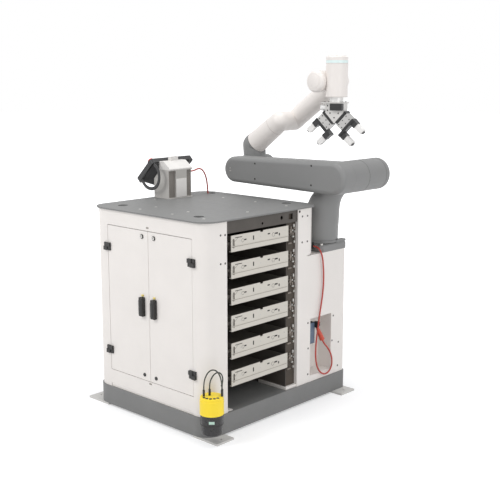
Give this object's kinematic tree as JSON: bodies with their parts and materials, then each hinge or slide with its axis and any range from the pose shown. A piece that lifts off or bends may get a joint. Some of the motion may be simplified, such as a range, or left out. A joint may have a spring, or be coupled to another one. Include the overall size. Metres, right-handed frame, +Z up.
{
  "type": "robot arm cell",
  "caption": "Six-axis robot arm with a double gripper on the pedestal of a white machine-tending cabinet with doors, side drawers, pendant and corner scanner.",
  "frame": {"origin": "on the floor, at the centre of the four floor bolts", "axes": "+Z up; the doors face -Y and the drawers face +X"},
  "size_m": [1.0881, 1.185, 1.7427],
  "materials": {
    "skid_grey": "satin powder coat",
    "foot_plate": "satin powder coat",
    "panel_white": "satin powder coat",
    "inner_dark": "matt, in shade",
    "drawer_grey": "satin powder coat",
    "latch_steel": "zinc plated",
    "table_grey": "satin powder coat",
    "fitting_black": "matt moulded",
    "robot_grey": "satin",
    "robot_white": "satin",
    "ring_cyan": "translucent band",
    "flange_metal": "machined",
    "gripper_silver": "anodised",
    "gripper_black": "black anodised",
    "jaw_metal": "anodised",
    "fitting_white": "moulded",
    "holder_grey": "matt",
    "cap_white": "matt",
    "pendant_black": "fine grain",
    "scanner_yellow": "fine grain",
    "scanner_black": "smooth",
    "bracket_white": "satin powder coat",
    "cord_red": "matt sheath",
    "plug_orange": "moulded",
    "lead_black": "matt sheath"
  },
  "bodies": {
    "cell": {"base_skid": "skid_grey", "floor_plates": "foot_plate", "left_wall": "panel_white", "back_wall": "panel_white", "front_rails": "panel_white", "corner_panel": "panel_white", "side_sheet": "panel_white", "pedestal": "panel_white", "pedestal_top": "panel_white", "recess_box": "panel_white", "bay_walls": "inner_dark", "cupboard_wall": "inner_dark", "side_rail": "inner_dark", "runners": "inner_dark", "latches": "latch_steel", "table_top": "table_grey", "post_hinges": "fitting_black", "sockets": "fitting_black", "robot_foot": "robot_grey", "pendant_holder": "holder_grey", "holder_cap": "cap_white", "pendant": "pendant_black", "scanner_top": "scanner_yellow", "scanner_body": "scanner_black", "scanner_bracket": "bracket_white", "robot_cord": "cord_red", "pendant_cord": "cord_red", "cord_plug": "plug_orange", "scanner_lead_1": "lead_black", "scanner_lead_2": "lead_black"},
    "door_left": {"door_left": "panel_white", "door_left_fittings": "fitting_black"},
    "door_right": {"door_right": "panel_white", "door_right_fittings": "fitting_black"},
    "drawer_1": {"drawer_1": "drawer_grey"},
    "drawer_2": {"drawer_2": "drawer_grey"},
    "drawer_3": {"drawer_3": "drawer_grey"},
    "drawer_4": {"drawer_4": "drawer_grey"},
    "drawer_5": {"drawer_5": "drawer_grey"},
    "drawer_6": {"drawer_6": "drawer_grey"},
    "shoulder": {"robot_column": "robot_grey"},
    "lower_arm": {"lower_arm": "robot_grey"},
    "elbow": {"elbow": "robot_grey", "elbow_root": "robot_white"},
    "forearm": {"forearm": "robot_white"},
    "wrist": {"wrist": "robot_white", "light_ring": "ring_cyan"},
    "tool": {"tool_flange": "flange_metal", "gripper_adapter": "flange_metal", "gripper_bodies": "gripper_silver", "gripper_plates": "gripper_black", "air_fitting": "fitting_white"},
    "jaw_a1": {"jaw_a1": "jaw_metal"},
    "jaw_a2": {"jaw_a2": "jaw_metal"},
    "jaw_b1": {"jaw_b1": "jaw_metal"},
    "jaw_b2": {"jaw_b2": "jaw_metal"}
  },
  "joints": [
    {"name": "base_swivel", "type": "hinge", "parent": "cell", "child": "shoulder", "pos_m": [0.2995, 0.41, 0.767], "axis": [0, 0, 1], "range_deg": [-180, 180]},
    {"name": "shoulder_lift", "type": "hinge", "parent": "shoulder", "child": "lower_arm", "pos_m": [0.5145, 0.41, 1.156], "axis": [0, 1, 0], "range_deg": [-2.5, 180]},
    {"name": "elbow_bend", "type": "hinge", "parent": "lower_arm", "child": "elbow", "pos_m": [-0.1505, 0.41, 1.156], "axis": [0, -1, 0], "range_deg": [-4, 220]},
    {"name": "forearm_turn", "type": "hinge", "parent": "elbow", "child": "forearm", "pos_m": [-0.21089, 0.41, 1.24067], "axis": [0.8141, 0, 0.5807], "range_deg": [-180, 180]},
    {"name": "wrist_bend", "type": "hinge", "parent": "forearm", "child": "wrist", "pos_m": [0.3191, 0.41, 1.61871], "axis": [0, -1, 0], "range_deg": [-42, 235]},
    {"name": "tool_turn", "type": "hinge", "parent": "wrist", "child": "tool", "pos_m": [0.3991, 0.41, 1.61871], "axis": [0, 0, 1], "range_deg": [-180, 180]},
    {"name": "door_left_swing", "type": "hinge", "parent": "cell", "child": "door_left", "pos_m": [-0.28625, -0.515, 0.565], "axis": [0, 0, -1], "range_deg": [0, 110]},
    {"name": "door_right_swing", "type": "hinge", "parent": "cell", "child": "door_right", "pos_m": [0.31325, -0.515, 0.565], "axis": [0, 0, 1], "range_deg": [0, 110]},
    {"name": "drawer_1_slide", "type": "slide", "parent": "cell", "child": "drawer_1", "axis": [1, 0, 0], "range_m": [0, 0.32]},
    {"name": "drawer_2_slide", "type": "slide", "parent": "cell", "child": "drawer_2", "axis": [1, 0, 0], "range_m": [0, 0.32]},
    {"name": "drawer_3_slide", "type": "slide", "parent": "cell", "child": "drawer_3", "axis": [1, 0, 0], "range_m": [0, 0.32]},
    {"name": "drawer_4_slide", "type": "slide", "parent": "cell", "child": "drawer_4", "axis": [1, 0, 0], "range_m": [0, 0.32]},
    {"name": "drawer_5_slide", "type": "slide", "parent": "cell", "child": "drawer_5", "axis": [1, 0, 0], "range_m": [0, 0.32]},
    {"name": "drawer_6_slide", "type": "slide", "parent": "cell", "child": "drawer_6", "axis": [1, 0, 0], "range_m": [0, 0.32]},
    {"name": "jaw_a1_slide", "type": "slide", "parent": "tool", "child": "jaw_a1", "axis": [0.6552, 0.1756, -0.7348], "range_m": [0, 0.018]},
    {"name": "jaw_a2_slide", "type": "slide", "parent": "tool", "child": "jaw_a2", "axis": [-0.6552, -0.1756, 0.7348], "range_m": [0, 0.018]},
    {"name": "jaw_b1_slide", "type": "slide", "parent": "tool", "child": "jaw_b1", "axis": [-0.6552, -0.1756, -0.7348], "range_m": [0, 0.018]},
    {"name": "jaw_b2_slide", "type": "slide", "parent": "tool", "child": "jaw_b2", "axis": [0.6552, 0.1756, 0.7348], "range_m": [0, 0.018]}
  ],
  "couplings": [
    {"joint": "jaw_a2_slide", "follows": "jaw_a1_slide", "ratio": 1},
    {"joint": "jaw_b2_slide", "follows": "jaw_b1_slide", "ratio": 1}
  ]
}
